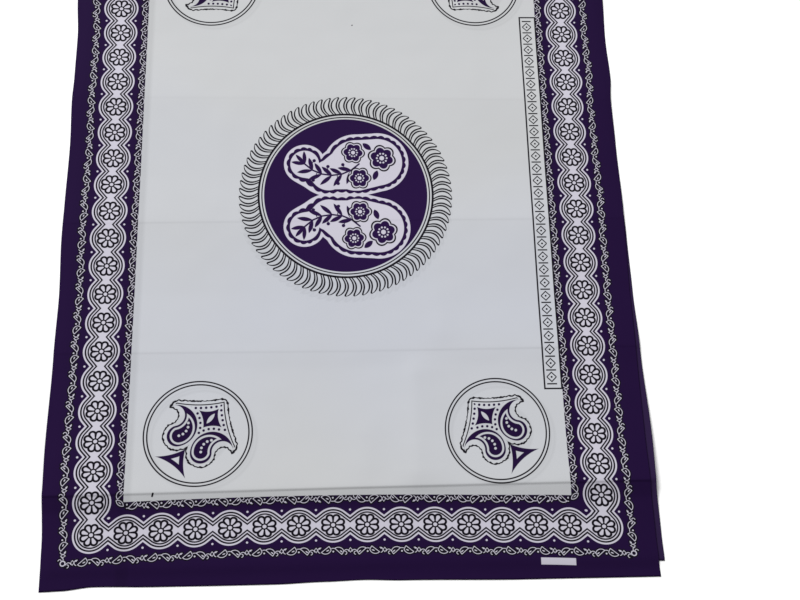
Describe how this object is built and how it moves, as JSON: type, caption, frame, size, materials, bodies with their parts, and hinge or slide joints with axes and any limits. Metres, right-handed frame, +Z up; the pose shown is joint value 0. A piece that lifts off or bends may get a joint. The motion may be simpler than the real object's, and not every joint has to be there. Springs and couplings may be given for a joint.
{
  "type": "kanga wrap cloth",
  "caption": "Kanga wrap cloth: printed cotton with a patterned border, folded once and laid flat with pressed cross creases.",
  "frame": {"origin": "middle of the underside, on the surface that the cloth lies on", "axes": "+Y along the cloth from its near free ends to the turned fold, +X across it to the right as seen from the near end, +Z up"},
  "size_m": [1.122, 1.4954, 0.0117],
  "materials": {
    "printed_cotton": "thin plain-woven cotton, white ground with a dark purple border print, faint sheen",
    "under_cotton": "the same cotton, dark purple at the edges that show"
  },
  "bodies": {
    "root": {"kanga_upper_length": "printed_cotton", "kanga_under_length": "under_cotton"}
  },
  "joints": []
}
